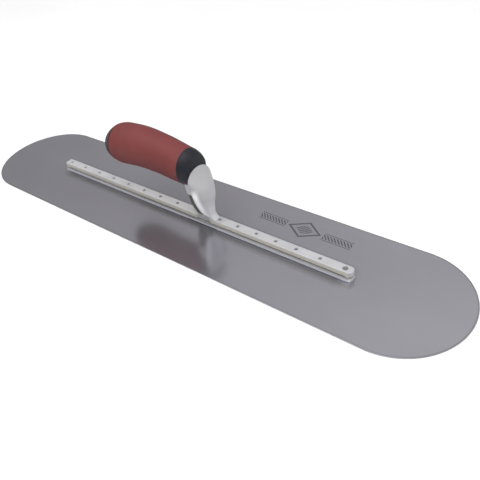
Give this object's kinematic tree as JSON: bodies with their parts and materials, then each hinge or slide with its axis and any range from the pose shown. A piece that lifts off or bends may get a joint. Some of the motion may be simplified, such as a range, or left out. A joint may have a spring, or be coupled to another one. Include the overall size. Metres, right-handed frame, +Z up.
{
  "type": "finishing trowel",
  "caption": "Long flat finishing trowel with fully rounded blade ends, a studded mounting bar, a curved metal shank and a soft moulded grip set parallel above the blade.",
  "frame": {"origin": "centre of the blade's flat working face, on its underside", "axes": "+X along the blade toward the toe, away from the free end of the handle; +Y to the left seen from the heel; +Z up, out of the back of the blade toward the handle"},
  "size_m": [0.6096, 0.127, 0.0938],
  "materials": {
    "blade_steel": "satin, finely polished along its length",
    "cast_aluminium": "tumbled satin casting",
    "stud_steel": "peened and ground flush",
    "soft_grip": "matte, finely grained",
    "hard_plastic": "soft gloss",
    "zinc_steel": "zinc plated"
  },
  "bodies": {
    "root": {"blade": "blade_steel", "mounting": "cast_aluminium", "stud_01": "stud_steel", "stud_02": "stud_steel", "stud_03": "stud_steel", "stud_04": "stud_steel", "stud_05": "stud_steel", "stud_06": "stud_steel", "stud_07": "stud_steel", "stud_08": "stud_steel", "stud_09": "stud_steel", "stud_10": "stud_steel", "stud_11": "stud_steel", "stud_12": "stud_steel", "stud_13": "stud_steel", "stud_14": "stud_steel", "stud_15": "stud_steel", "handle_core": "hard_plastic", "grip_sleeve": "soft_grip", "end_cap": "hard_plastic", "tie_rod": "zinc_steel", "rod_washer": "zinc_steel", "rod_nut": "zinc_steel"}
  },
  "joints": []
}
